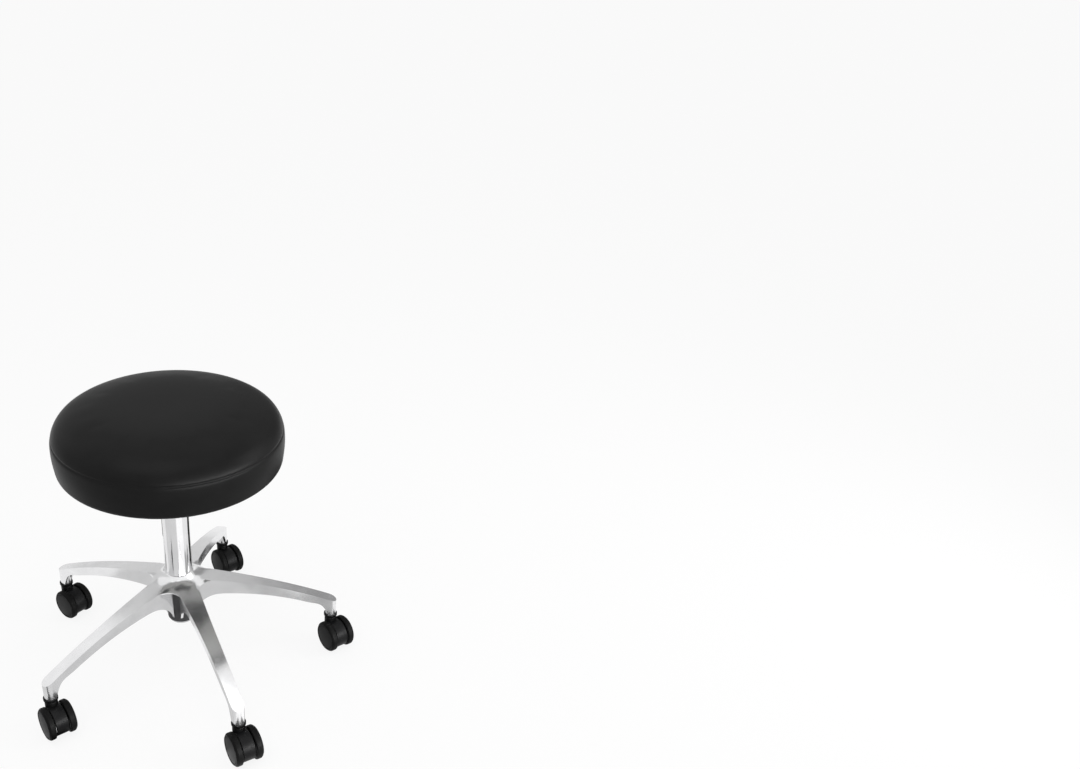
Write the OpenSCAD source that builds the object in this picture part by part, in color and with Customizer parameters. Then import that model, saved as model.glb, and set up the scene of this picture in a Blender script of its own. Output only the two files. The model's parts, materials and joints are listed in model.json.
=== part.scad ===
// Dentist stool: round padded seat on a gas lift column, with a five-legged cast base on
// twin-wheel castors. Millimetres, +Z up. The origin is on the floor, on the column's axis.

/* [Castors] */
// Outside diameter of a castor wheel
wheel_d = 60; // [50:0.5:72]
// Width of one wheel
wheel_w = 14; // [10:0.5:18]
// Width of the hood's drum between the two wheels
hood_w = 23; // [18:0.5:30]
// Horizontal distance from the stem's axis to the wheel axis
trail = 20; // [15:0.5:26]
// Thickness of the soft tread
tread_t = 3; // [2:0.5:5]
// Diameter of the castor's stem
stem_d = 11; // [8:0.5:12]
// Diameter of the wheel axle
axle_d = 8; // [5:0.5:9]

/* [Star base] */
// Radius of the circle of castor stems
castor_circle_r = 288.6; // [230:1:350]
// Width of a leg's side walls
leg_w = 23; // [18:0.5:30]
// Width of a leg's top skin where it leaves the hub
leg_root_w = 40; // [32:1:48]
// Thickness of the casting's top skin
skin_t = 6; // [4:0.5:9]
// Thickness of a leg's side walls
leg_wall = 4.5; // [3:0.5:6]
// Height of the leg's top above the castor boss's lower end, at the leg's end
tip_rise = 35; // [30:1:45]
// Further rise of the leg's top from its end to the edge of the hub
leg_rise = 81; // [50:1:110]
// Further rise of the hub from its edge to the column
hub_rise = 17; // [10:1:25]
// Diameter of the boss that takes the castor's stem
castor_boss_d = 22; // [19:0.5:26]

/* [Column] */
// Outside diameter of the column tube
tube_d = 50; // [45:0.5:56]
// Wall of the column tube
tube_wall = 2; // [1.5:0.1:2.4]
// Length of the column tube
tube_len = 245; // [235:1:320]
// Diameter of the gas cylinder
cyl_d = 28; // [26:0.5:30]
// Diameter of the piston rod
rod_d = 10; // [8:0.5:12]
// How far the seat can sink from where it stands
lift_down = 50; // [20:1:60]
// How far the seat can rise from where it stands
lift_up = 80; // [40:1:100]
// Length of the guide bush inside the tube
bush_len = 75; // [50:1:85]

/* [Seat] */
// Diameter of the padded seat at its widest
seat_d = 400; // [300:5:480]
// Height of the side band, from the seat's underside to the seam
band_h = 62; // [45:1:80]
// Height of the crown above the seam
crown_h = 43; // [25:1:55]
// Thickness of the upholstery
cover_t = 1.5; // [1:0.1:2.5]
// Thickness of the plywood board
board_t = 12; // [9:0.5:18]
// Side of the square steel plate
plate_side = 160; // [150:1:190]
// Spacing of the four seat screws, both ways
screw_pitch = 126; // [124:1:130]
// Diameter of a seat screw
screw_d = 6; // [5:0.5:8]

/* [Height lever] */
// Direction of the lever, counted anticlockwise from +X
lever_az = 65; // [0:5:355]
// Reach of the lever from the column's axis
lever_reach = 182; // [160:1:190]
// Distance from the column's axis to the lever's pin
lever_arm = 30; // [28:1:34]
// Diameter of the lever's rod
lever_d = 8; // [6:0.5:8]
// Greatest tilt of the lever
lever_tilt = 5; // [3:0.5:6]

/* [Hidden] */
legs = 5;
leg_step = 360 / legs;
// Each castor's wheel axis, counted anticlockwise from +X, where it stands at rest
castor_az = [24.8, 27, 41, 27.7, 20.5];
run_gap = 0.05;         // radial clearance of a running fit
play = 0.3;             // gap between parts that only pass each other
eps = 0.01;              // a hair, where faces would otherwise fall on one another
$fn = 96;
arc_fn = 360;           // for the legs' long arcs

// castor, from the floor up
wheel_r = wheel_d / 2;
axle_r = axle_d / 2;
stem_r = stem_d / 2;
wheel_in = hood_w / 2 + 1;              // inner face of a wheel, along its axis
wheel_out = wheel_in + wheel_w;         // outer face of a wheel
wheel_wall = 3;
wheel_cap_t = 2.5;                      // wall that closes the axle hole
tread_in_r = wheel_r - tread_t;
drum_r = wheel_r - 3.5;
drum_wall = 2.6;
drum_clear = 8;                         // height of the hood's cut-off lower edge
web_t = 7;                              // wall in the hood's middle that holds the axle
neck_d = 23;
neck_z = wheel_d + 2;                   // top of the hood's neck
neck_foot_z = wheel_r + 5;
stem_head_d = 15;
stem_head_t = 4;
stem_gap = 2;                           // bright stem that shows above the neck
collar_t = 4;
collar_d = castor_boss_d + 4;
sleeve_d = stem_d + 3;
socket_depth = 28;

// star base, from the castor bosses up
boss_z = neck_z + stem_gap + collar_t;
tip_top_z = boss_z + tip_rise;
edge_top_z = tip_top_z + leg_rise;
hub_top_z = edge_top_z + hub_rise;
hub_edge_r = tube_d;
tube_r = tube_d / 2;
hub_boss_r = tube_r + 3.5;
hub_foot_z = boss_z + 27;
hub_foot_r = hub_boss_r - 2;
tip_r = castor_boss_d / 2 + 0.5;
leg_end = castor_circle_r + 5;
leg_start = tube_r - 5;
scallop_d = (hub_edge_r - leg_root_w / 2) / (1 - sin(leg_step / 2));
scallop_r = scallop_d - hub_edge_r;
hub_disc_r = norm([scallop_d * cos(leg_step / 2), leg_root_w / 2]);
top_bow = 8;                            // bulge of the leg's top above a straight line
under_bow = 16;
leg_root_depth = 40;                    // depth of a leg's wall beside the hub
leg_tip_depth = 20;
mid_r = (hub_edge_r + leg_end) / 2;
fillet_r = 42;                          // round under a leg, where it meets the hub's boss

// column, from the hub's foot up
tube_foot_z = hub_foot_z - 5;
tube_top_z = tube_foot_z + tube_len;
tube_taper_z = hub_top_z - 12;          // below this the tube narrows to lock in the hub
tube_foot_r = tube_r - 1;
tube_end_t = 4;
rod_r = rod_d / 2;
rod_step_r = rod_r - 1;
race_t = 2;
ball_r = 1.95;
balls = 12;
race_out_r = 13;
race_in_r = rod_step_r + 0.3;
race_z = tube_foot_z + tube_end_t;
stop_z = race_z + 2 * race_t + 2 * ball_r + 0.1;
stop_h = 20;
washer_t = 2;
clip_t = 1.2;
washer_z = tube_foot_z - washer_t;
clip_z = washer_z - clip_t - 0.05;
rod_foot_z = clip_z - 2;
cyl_r = cyl_d / 2;
cyl_wall = 1.5;
cyl_z = stop_z + stop_h + lift_down + 4;
guide_t = 20;
seal_t = 4;
piston_z = cyl_z + guide_t + seal_t + lift_up + 4;
piston_h = 14;
rivet_t = 3;
bush_flange_t = 2;
socket_z = tube_top_z + bush_flange_t + 2 + lift_down;
socket_len = 24;
socket_wall = 5;
socket_out_r = cyl_r + socket_wall;
cyl_top_z = socket_z + socket_len + 1.5;
cyl_bore_top_z = cyl_top_z - 50;
taper_z = socket_z - 8;
cyl_top_r = cyl_r - 1;

// height lever
button_r = 4;
button_up = 7;                          // how far the button stands out of the cylinder
button_len = 20;
button_travel = lever_arm * lever_tilt * PI / 180;
lever_r = lever_d / 2;
nose_gap = 0.3;
lever_z = cyl_top_z + button_up + nose_gap + lever_r;
lever_droop = 6;                        // how steeply the lever's rod falls outwards
nose_w = 10;
lever_pin_r = 3;
lever_hub_r = lever_pin_r + 3;
bracket_t = 2.5;
bracket_in = socket_out_r + 3;          // half the gap between the bracket's side walls
lever_hub_w = 2 * (bracket_in - play);
bracket_floor_z = socket_z + socket_len - 6.5;
bracket_back = cyl_r + 18;
bracket_front = lever_arm + lever_hub_r + 2;
grip_len = 62;
grip_r = 7.5;
grip_end_t = 4;
rod_len = (lever_reach - lever_arm) / cos(lever_droop);

// seat, from the plate up
plate_t = 3;
lever_clear = 4.7;                      // room for the lever under the plate
cloth_t = 0.8;
plate_z = lever_z + lever_r + lever_clear;
board_z = plate_z + plate_t + cloth_t + eps;
seat_z = board_z - cover_t;             // the seat's underside, level with the hem
seam_z = seat_z + band_h;
crown_z = seam_z + crown_h;
seat_r = seat_d / 2;
seam_r = seat_r - 2.5;
hem_in_r = seat_r - 30;
foot_round_r = 13;
foot_r = seat_r - 3 - foot_round_r;     // edge of the seat's flat underside
board_r = foot_r - play;
shoulder_power = 4;
shoulder_r = seat_r - 1;
foam_t_side = 1.8;                      // foam lies this far inside the cover's outer face
nut_flange_t = 1.2;
nut_flange_r = screw_d / 2 + 6;
nut_r = screw_d / 2 + 1.2;
screw_head_t = 4;
screw_head_r = screw_d;
screw_len = 14;

CASTORS = [for (i = [1:legs], part = ["hood_", "axle_", "wheel_left_", "wheel_right_",
    "tyre_left_", "tyre_right_"]) str(part, i)];

// ---- shared shapes ----

// Centre and radius of the circle through three points of a side view
function circle_through(p, q, r) =
    let (d = 2 * (p[0] * (q[1] - r[1]) + q[0] * (r[1] - p[1]) + r[0] * (p[1] - q[1])),
         x = ((p * p) * (q[1] - r[1]) + (q * q) * (r[1] - p[1]) + (r * r) * (p[1] - q[1])) / d,
         z = ((p * p) * (r[0] - q[0]) + (q * q) * (p[0] - r[0]) + (r * r) * (q[0] - p[0])) / d)
    [x, z, norm([x - p[0], z - p[1]])];

// A plain ring standing on z
module ring(out_r, in_r, z, h) {
    translate([0, 0, z]) difference() {
        cylinder(r = out_r, h = h);
        translate([0, 0, -1]) cylinder(r = in_r, h = h + 2);
    }
}

module each_leg() {
    for (i = [0:legs - 1]) rotate([0, 0, i * leg_step]) children();
}

module each_stem() {
    each_leg() translate([castor_circle_r, 0, 0]) children();
}

// Puts a castor's part under its leg; the wheel axis is along the part's X, the trail along -Y
module at_castor(i) {
    rotate([0, 0, i * leg_step]) translate([castor_circle_r, 0, 0])
        rotate([0, 0, castor_az[i] - i * leg_step]) children();
}

module at_screws() {
    for (x = [-1, 1], y = [-1, 1]) translate([x, y, 0] * screw_pitch / 2) children();
}

module at_lever() {
    rotate([0, 0, lever_az]) children();
}

// ---- star base ----

top_arc = circle_through([hub_edge_r, edge_top_z],
    [mid_r, (edge_top_z + tip_top_z) / 2 + top_bow], [leg_end, tip_top_z]);
under_arc = circle_through([hub_edge_r + 20, edge_top_z - leg_root_depth],
    [mid_r, (edge_top_z - leg_root_depth + tip_top_z - leg_tip_depth) / 2 + under_bow],
    [leg_end, tip_top_z - leg_tip_depth - 1]);

// Half the width of the casting's top skin at a distance from the column
function skin_half(s) = tip_r + (leg_root_w / 2 - tip_r) * pow((leg_end - s) / (leg_end - hub_edge_r), 3);

// A round bar across a leg, whose top or underside is one of the leg's arcs
module leg_arc(arc, grow) {
    translate([arc[0], 0, arc[1]]) rotate([90, 0, 0])
        cylinder(r = arc[2] + grow, h = 2 * leg_root_w, center = true, $fn = arc_fn);
}

module skin_plan() {
    steps = 12;
    outline = [for (i = [0:steps]) let (s = hub_edge_r + i / steps * (castor_circle_r - hub_edge_r))
        [s, skin_half(s)]];
    polygon(concat([[leg_start, leg_root_w / 2]], outline,
        [for (i = [steps:-1:0]) [outline[i][0], -outline[i][1]]], [[leg_start, -leg_root_w / 2]]));
    translate([castor_circle_r, 0]) circle(r = skin_half(castor_circle_r));
}

// One leg: a flat top skin over two side walls, open underneath
module leg() {
    intersection() {
        linear_extrude(hub_top_z) skin_plan();
        difference() {
            leg_arc(top_arc, 0);
            leg_arc(top_arc, -skin_t);
        }
    }
    difference() {
        intersection() {
            translate([leg_start, -leg_w / 2, 0])
                cube([castor_circle_r - leg_start, leg_w, hub_top_z]);
            leg_arc(top_arc, -skin_t / 2);
        }
        difference() {
            leg_arc(under_arc, 0);
            leg_root();
        }
        leg_channel();
    }
    translate([castor_circle_r, 0, boss_z]) cylinder(d = castor_boss_d, h = tip_rise - 2);
}

// Keeps metal under the leg's arc beside the hub, with a round into the boss
module leg_root() {
    size = fillet_r + 6;
    x = hub_boss_r - 6;
    z = edge_top_z - leg_root_depth - fillet_r;
    difference() {
        translate([x, -leg_w, z]) cube([size, 2 * leg_w, size + fillet_r]);
        translate([x + size, 0, z]) rotate([90, 0, 0])
            cylinder(r = fillet_r, h = 3 * leg_w, center = true);
    }
}

// The hollow under a leg
module leg_channel() {
    inner = leg_w - 2 * leg_wall;
    intersection() {
        translate([hub_boss_r + 14, -inner / 2, 0])
            cube([castor_circle_r - castor_boss_d / 2 - 3 - hub_boss_r - 14, inner, hub_top_z]);
        leg_arc(top_arc, -skin_t);
    }
}

// The hub: a boss round the column under a thin web, which is cut to a curve between the legs
module hub() {
    difference() {
        rotate_extrude() polygon([[leg_start, hub_foot_z], [hub_foot_r - 2, hub_foot_z],
            [hub_foot_r, hub_foot_z + 2.5], [hub_boss_r, edge_top_z - 18],
            [hub_boss_r + 6, edge_top_z - 10], [hub_edge_r, edge_top_z - skin_t - 0.5],
            [hub_disc_r, edge_top_z - skin_t - 3], [hub_disc_r, edge_top_z - 3],
            [hub_edge_r, edge_top_z - 0.5], [hub_edge_r - 8, edge_top_z + 2.2],
            [tube_r + 7, edge_top_z + hub_rise * 0.55], [tube_r + 1, hub_top_z],
            [leg_start, hub_top_z]]);
        for (i = [0:legs - 1]) rotate([0, 0, (i + 0.5) * leg_step])
            translate([scallop_d, 0, hub_foot_z]) cylinder(r = scallop_r, h = hub_top_z);
    }
}

module star_base() {
    color("silver") difference() {
        union() {
            each_leg() leg();
            hub();
        }
        column_bore();
        each_stem() translate([0, 0, boss_z - 1]) cylinder(d = sleeve_d + 2 * run_gap, h = socket_depth + 1);
    }
}

// The hub's tapered hole
module column_bore() {
    translate([0, 0, tube_foot_z - 1])
        cylinder(r1 = tube_foot_r + run_gap, r2 = tube_r + run_gap, h = tube_taper_z - tube_foot_z + 1);
    translate([0, 0, tube_taper_z - eps]) cylinder(r = tube_r + run_gap, h = hub_top_z);
}

// ---- column ----

module column_tube() {
    color("gainsboro") difference() {
        union() {
            translate([0, 0, tube_foot_z])
                cylinder(r1 = tube_foot_r, r2 = tube_r, h = tube_taper_z - tube_foot_z);
            translate([0, 0, tube_taper_z]) cylinder(r = tube_r, h = tube_top_z - tube_taper_z);
        }
        translate([0, 0, race_z]) cylinder(r = tube_r - tube_wall, h = tube_len);
        translate([0, 0, tube_foot_z - 1]) cylinder(r = rod_step_r + run_gap, h = tube_len);
    }
}

module guide_bush() {
    color("dimgray") difference() {
        union() {
            translate([0, 0, tube_top_z - bush_len]) cylinder(r = tube_r - tube_wall - run_gap, h = bush_len);
            translate([0, 0, tube_top_z]) cylinder(r = tube_r - 0.5, h = bush_flange_t);
        }
        translate([0, 0, tube_top_z - bush_len - 1])
            cylinder(r = cyl_r + run_gap, h = bush_len + bush_flange_t + 2);
    }
}

module thrust_races() {
    color("lightgray") for (z = [race_z, stop_z - race_t]) ring(race_out_r, race_in_r, z, race_t);
}

module thrust_balls() {
    color("silver") for (i = [0:balls - 1]) rotate([0, 0, i * 360 / balls])
        translate([(race_out_r + race_in_r) / 2, 0, race_z + race_t + ball_r + 0.05]) sphere(r = ball_r);
}

module clip_washer() {
    color("silver") ring(9, rod_step_r + run_gap, washer_z, washer_t);
}

// ---- spindle ----

module piston_rod() {
    color("silver") difference() {
        union() {
            translate([0, 0, rod_foot_z]) cylinder(r = rod_step_r, h = piston_z + piston_h + 1 - rod_foot_z);
            translate([0, 0, stop_z]) cylinder(r = rod_r, h = piston_z - stop_z);
            translate([0, 0, piston_z + piston_h]) cylinder(r = rod_r + 1, h = rivet_t);
        }
        ring(rod_r, rod_step_r - 0.8, clip_z - 0.05, clip_t + 0.1);
    }
}

module piston() {
    color("gray") ring(cyl_r - cyl_wall - run_gap, rod_step_r, piston_z, piston_h);
}

module bump_stop() {
    color("black") ring(cyl_r - 1, rod_r + run_gap, stop_z, stop_h);
}

module retaining_clip() {
    color("dimgray") ring(8, rod_step_r - 0.75, clip_z, clip_t);
}

// ---- gas cylinder ----

module gas_cylinder() {
    color("dimgray") difference() {
        union() {
            translate([0, 0, cyl_z]) cylinder(r = cyl_r, h = taper_z - cyl_z);
            translate([0, 0, taper_z]) cylinder(r1 = cyl_r, r2 = cyl_top_r, h = cyl_top_z - taper_z);
        }
        translate([0, 0, cyl_z - 1]) cylinder(r = cyl_r - cyl_wall, h = cyl_bore_top_z - cyl_z + 1);
        translate([0, 0, cyl_top_z + button_up - button_len - button_travel - 2])
            cylinder(r = button_r + run_gap, h = button_len + button_travel + 4);
    }
}

module valve_button() {
    color("silver") translate([0, 0, cyl_top_z + button_up - button_len])
        cylinder(r = button_r, h = button_len);
}

module rod_guide() {
    color("lightgray") ring(cyl_r - cyl_wall, rod_r + run_gap, cyl_z, guide_t);
}

module rod_seal() {
    color("black") ring(cyl_r - cyl_wall - run_gap, rod_r + run_gap, cyl_z + guide_t, seal_t);
}

// ---- height lever ----

module lever_rod() {
    color("silver") at_lever() difference() {
        union() {
            translate([0, 0, lever_z]) rotate([90, 0, 0])
                cylinder(r = lever_r, h = nose_w, center = true);
            translate([0, 0, lever_z]) rotate([0, 90, 0]) cylinder(r = lever_r - 1, h = lever_arm);
            translate([lever_arm, 0, lever_z]) rotate([90, 0, 0])
                cylinder(r = lever_hub_r, h = lever_hub_w, center = true);
            along_rod() cylinder(r = lever_r, h = rod_len - grip_end_t);
        }
        translate([lever_arm, 0, lever_z]) rotate([90, 0, 0])
            cylinder(r = lever_pin_r + run_gap, h = lever_hub_w + 2, center = true);
    }
}

// Turns Z to run from the lever's pin out along its rod
module along_rod() {
    translate([lever_arm, 0, lever_z]) rotate([0, 90 + lever_droop, 0]) children();
}

module lever_grip() {
    color("black") at_lever() along_rod() translate([0, 0, rod_len]) rotate([180, 0, 0])
        rotate_extrude() polygon(concat([[0, 0]],
            [for (a = [15:15:90]) [grip_r * 0.9 * sin(a), 5 * (1 - cos(a))]],
            [[grip_r, 16], [grip_r * 0.8, grip_len - 8], [grip_r * 0.7, grip_len],
             [lever_r + run_gap, grip_len], [lever_r + run_gap, grip_end_t - run_gap],
             [0, grip_end_t - run_gap]]));
}

module lever_pin() {
    color("silver") at_lever() translate([lever_arm, 0, lever_z]) rotate([90, 0, 0])
        cylinder(r = lever_pin_r, h = 2 * (bracket_in + bracket_t) + 3, center = true);
}

module lever_bracket() {
    color("darkgray") at_lever() difference() {
        translate([-bracket_back, -bracket_in - bracket_t, bracket_floor_z])
            cube([bracket_back + bracket_front, 2 * (bracket_in + bracket_t), plate_z - bracket_floor_z]);
        translate([-bracket_back - 1, -bracket_in, bracket_floor_z + bracket_t])
            cube([bracket_back + bracket_front + 2, 2 * bracket_in, plate_z]);
        translate([0, 0, bracket_floor_z - 1]) cylinder(r = socket_out_r + run_gap, h = bracket_t + 2);
        translate([lever_arm, 0, lever_z]) rotate([90, 0, 0])
            cylinder(r = lever_pin_r + run_gap, h = 3 * bracket_in, center = true);
    }
}

// Radius of the gas cylinder's taper at a height
function taper_r(z) = cyl_r - (z - taper_z) / (cyl_top_z - taper_z) * (cyl_r - cyl_top_r);

module taper_socket() {
    color("darkgray") translate([0, 0, socket_z]) difference() {
        cylinder(r = socket_out_r, h = socket_len);
        translate([0, 0, -1]) cylinder(r1 = taper_r(socket_z - 1) + run_gap,
            r2 = taper_r(socket_z + socket_len + 1) + run_gap, h = socket_len + 2);
    }
}

// ---- seat ----

module seat_plate() {
    corner = 12;
    side = plate_side - 2 * corner;
    color("dimgray") at_lever() translate([0, 0, plate_z]) difference() {
        union() {
            translate([-side / 2, -plate_side / 2, 0]) cube([side, plate_side, plate_t]);
            translate([-plate_side / 2, -side / 2, 0]) cube([plate_side, side, plate_t]);
            for (x = [-1, 1], y = [-1, 1]) translate([x, y, 0] * side / 2) cylinder(r = corner, h = plate_t);
        }
        at_screws() translate([0, 0, -1]) cylinder(r = screw_d / 2 + play, h = plate_t + 2);
    }
}

module seat_screws() {
    color("silver") at_lever() at_screws() {
        translate([0, 0, plate_z - screw_head_t]) cylinder(r = screw_head_r, h = screw_head_t, $fn = 6);
        translate([0, 0, plate_z - eps]) cylinder(d = screw_d, h = screw_len);
    }
}

module tee_nuts() {
    top = board_z + board_t - 0.1;
    color("silver") at_lever() at_screws() difference() {
        union() {
            translate([0, 0, top - nut_flange_t]) cylinder(r = nut_flange_r, h = nut_flange_t);
            translate([0, 0, board_z + 1]) cylinder(r = nut_r, h = board_t - 1.5);
        }
        translate([0, 0, board_z]) cylinder(r = screw_d / 2 + run_gap, h = board_t + 1);
    }
}

module seat_board() {
    color("burlywood") translate([0, 0, board_z]) difference() {
        cylinder(r = board_r, h = board_t);
        at_lever() at_screws() {
            translate([0, 0, -1]) cylinder(r = nut_r + run_gap, h = board_t + 2);
            translate([0, 0, board_t - nut_flange_t - 0.1]) cylinder(r = nut_flange_r + play, h = 5);
        }
    }
}

module base_cloth() {
    color("black") translate([0, 0, board_z - cloth_t]) difference() {
        cylinder(r = hem_in_r - play, h = cloth_t);
        at_lever() at_screws() translate([0, 0, -1]) cylinder(r = screw_d / 2 + 1, h = cloth_t + 2);
    }
}

// Side view of the padded seat's outer face, drawn in by inset all round
function seat_outline(inset) = concat(
    [for (a = [0:15:90]) [foot_r + (foot_round_r - inset) * sin(a),
        seat_z + foot_round_r - (foot_round_r - inset) * cos(a)]],
    [for (t = [0.35, 0.5, 0.65, 0.85]) [seat_r - 3 + 3 * sin(180 * min(t * 0.85, 1)) - inset,
        seat_z + foot_round_r + t * (band_h - foot_round_r)]],
    [[seam_r - inset, seam_z]],
    [for (s = [0.96, 0.92, 0.87, 0.81, 0.74, 0.65, 0.5, 0.35]) [s * (shoulder_r - inset),
        crown_z - inset - shoulder_fall(s)]],
    [[30, crown_z - inset], [0, crown_z - inset]]);

// How far the seat's top has dropped from its crown at a share of its radius
function shoulder_fall(s) = crown_h * (1 - pow(1 - pow(s, shoulder_power), 1 / shoulder_power))
    / (1 - pow(1 - pow(seam_r / shoulder_r, shoulder_power), 1 / shoulder_power));

module seat_cover() {
    color("black") rotate_extrude() difference() {
        polygon(concat([[0, seat_z]], seat_outline(0)));
        polygon(concat([[0, board_z]], seat_outline(cover_t)));
        translate([0, seat_z - 1]) square([hem_in_r, cover_t + 2]);
    }
}

module seat_foam() {
    color("khaki") rotate_extrude() difference() {
        polygon(concat([[0, board_z]], seat_outline(foam_t_side)));
        translate([0, board_z - 1]) square([board_r + play, board_t + 1 + play]);
    }
}

// ---- castors ----

module castor_sleeves() {
    color("silver") each_stem() ring(sleeve_d / 2, stem_r + run_gap, boss_z, socket_depth - 0.5);
}

module castor_collars() {
    color("black") each_stem() ring(collar_d / 2, stem_r + run_gap, boss_z - collar_t, collar_t);
}

module castor_stems() {
    foot = neck_foot_z + 1;
    color("silver") each_stem() {
        translate([0, 0, foot]) cylinder(d = stem_head_d, h = stem_head_t);
        translate([0, 0, foot]) cylinder(r = stem_r, h = boss_z + socket_depth - 1 - foot);
    }
}

module hood(i) {
    color("black") at_castor(i) difference() {
        union() {
            translate([0, -trail, wheel_r]) drum();
            translate([0, 0, neck_foot_z]) cylinder(d = neck_d, h = neck_z - neck_foot_z);
        }
        translate([0, 0, neck_foot_z - 1])
            cylinder(d = stem_head_d + 2 * play, h = stem_head_t + 2 + play);
        cylinder(r = stem_r + run_gap, h = neck_z + 1);
        translate([0, -trail, wheel_r]) rotate([0, 90, 0])
            cylinder(r = axle_r + run_gap / 2, h = 2 * wheel_out, center = true);
    }
}

// The hood's drum: a rim over a middle wall, cut off level near the floor
module drum() {
    difference() {
        rotate([0, 90, 0]) cylinder(r = drum_r, h = hood_w, center = true);
        for (side = [-1, 1]) translate([side * (web_t / 2 + hood_w / 2), 0, 0]) rotate([0, 90, 0])
            difference() {
                cylinder(r = drum_r - drum_wall, h = hood_w, center = true);
                cylinder(r = axle_r + 3, h = hood_w + 1, center = true);
            }
        translate([0, 0, drum_clear - wheel_r - 50]) cube([2 * hood_w, 4 * drum_r, 100], center = true);
    }
}

module axle(i) {
    color("silver") at_castor(i) translate([0, -trail, wheel_r]) rotate([0, 90, 0])
        cylinder(r = axle_r, h = 2 * (wheel_out - wheel_cap_t - play), center = true);
}

// A wheel, turned from its side view: radius against distance outwards along the axle
module wheel(i, side) {
    face = wheel_out - wheel_in;
    color([0.13, 0.13, 0.13]) at_castor(i) translate([0, -trail, wheel_r]) rotate([0, side * 90, 0])
        translate([0, 0, wheel_in]) rotate_extrude() polygon([
            [axle_r + run_gap, 0], [axle_r + wheel_wall, 0], [axle_r + wheel_wall, face - 5],
            [tread_in_r - wheel_wall, face - 5], [tread_in_r - wheel_wall, 0.5], [tread_in_r, 0.5],
            [tread_in_r, face - 1.6], [tread_in_r - 1.5, face - 1.3], [tread_in_r - 2, face - 2],
            [tread_in_r - 3, face - 2], [tread_in_r - 3.5, face - 1.1], [tread_in_r * 0.55, face - 0.35],
            [0, face], [0, face - wheel_cap_t], [axle_r + run_gap, face - wheel_cap_t]]);
}

module tyre(i, side) {
    face = wheel_out - wheel_in;
    color([0.08, 0.08, 0.08]) at_castor(i) translate([0, -trail, wheel_r]) rotate([0, side * 90, 0])
        translate([0, 0, wheel_in]) rotate_extrude() polygon([
            [tread_in_r, 0.5], [wheel_r - 1.4, 0.5], [wheel_r - 0.4, 1], [wheel_r, 2],
            [wheel_r, face - 4], [wheel_r - 0.4, face - 2.9], [wheel_r - 1.4, face - 2],
            [tread_in_r, face - 1.6]]);
}

seat_cover();
seat_foam();
seat_board();
tee_nuts();
base_cloth();
seat_plate();
seat_screws();
lever_bracket();
taper_socket();
lever_pin();
lever_rod();
lever_grip();
gas_cylinder();
valve_button();
rod_guide();
rod_seal();
piston_rod();
piston();
bump_stop();
retaining_clip();
star_base();
column_tube();
guide_bush();
thrust_races();
thrust_balls();
clip_washer();
castor_sleeves();
castor_collars();
castor_stems();
for (i = [1:legs]) {
    hood(i - 1);
    axle(i - 1);
    wheel(i - 1, -1);
    wheel(i - 1, 1);
    tyre(i - 1, -1);
    tyre(i - 1, 1);
}
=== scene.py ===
# Dentist stool: the looks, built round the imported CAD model. Metres, Z up, front is -Y.
import json
import math
from bisect import bisect
import bmesh
import bpy
from mathutils import Matrix, Vector


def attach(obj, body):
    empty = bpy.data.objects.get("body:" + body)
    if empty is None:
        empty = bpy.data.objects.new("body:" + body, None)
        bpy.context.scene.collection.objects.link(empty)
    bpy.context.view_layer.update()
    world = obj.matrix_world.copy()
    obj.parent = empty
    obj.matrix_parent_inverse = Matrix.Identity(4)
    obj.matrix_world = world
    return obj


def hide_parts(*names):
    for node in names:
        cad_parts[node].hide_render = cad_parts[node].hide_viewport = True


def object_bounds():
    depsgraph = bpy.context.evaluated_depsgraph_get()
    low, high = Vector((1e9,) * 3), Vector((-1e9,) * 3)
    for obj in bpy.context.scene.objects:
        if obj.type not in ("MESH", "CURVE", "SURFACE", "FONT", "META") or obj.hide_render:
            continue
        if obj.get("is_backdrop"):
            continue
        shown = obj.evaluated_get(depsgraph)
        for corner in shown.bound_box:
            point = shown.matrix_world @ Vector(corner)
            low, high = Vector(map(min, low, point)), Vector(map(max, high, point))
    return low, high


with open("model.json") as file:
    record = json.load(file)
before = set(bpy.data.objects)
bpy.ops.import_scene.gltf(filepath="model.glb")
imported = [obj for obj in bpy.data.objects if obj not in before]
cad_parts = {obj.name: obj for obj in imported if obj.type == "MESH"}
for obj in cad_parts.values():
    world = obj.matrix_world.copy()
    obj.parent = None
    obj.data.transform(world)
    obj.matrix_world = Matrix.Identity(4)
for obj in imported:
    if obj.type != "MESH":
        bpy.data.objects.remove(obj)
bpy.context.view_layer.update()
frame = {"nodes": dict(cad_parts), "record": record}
nodes = frame["nodes"]
mm = 0.001
legCount = 5
legStep = math.radians(360 / legCount)
print("frame loaded:", len(nodes), "nodes")

# modelling tools


def leaveAll():
    if bpy.context.mode != "OBJECT":
        bpy.ops.object.mode_set(mode="OBJECT")
    bpy.ops.object.select_all(action="DESELECT")


def choose(piece):
    leaveAll()
    piece.select_set(True)
    bpy.context.view_layer.objects.active = piece


def edit(piece):
    choose(piece)
    bpy.ops.object.mode_set(mode="EDIT")


# Selects the vertices, edges or faces whose every corner passes the test
def pick(kind, test):
    bpy.ops.mesh.select_mode(type=kind)
    bpy.ops.mesh.select_all(action="DESELECT")
    mesh = bmesh.from_edit_mesh(bpy.context.object.data)
    for item in {"VERT": mesh.verts, "EDGE": mesh.edges, "FACE": mesh.faces}[kind]:
        corners = [item] if kind == "VERT" else item.verts
        item.select_set(all(test(v.co) for v in corners))
    mesh.select_flush_mode()
    bmesh.update_edit_mesh(bpy.context.object.data)


# Moves each selected vertex to where the function says
def place(where):
    mesh = bmesh.from_edit_mesh(bpy.context.object.data)
    for v in mesh.verts:
        if v.select:
            v.co = where(v.co.copy())
    bmesh.update_edit_mesh(bpy.context.object.data)


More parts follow.
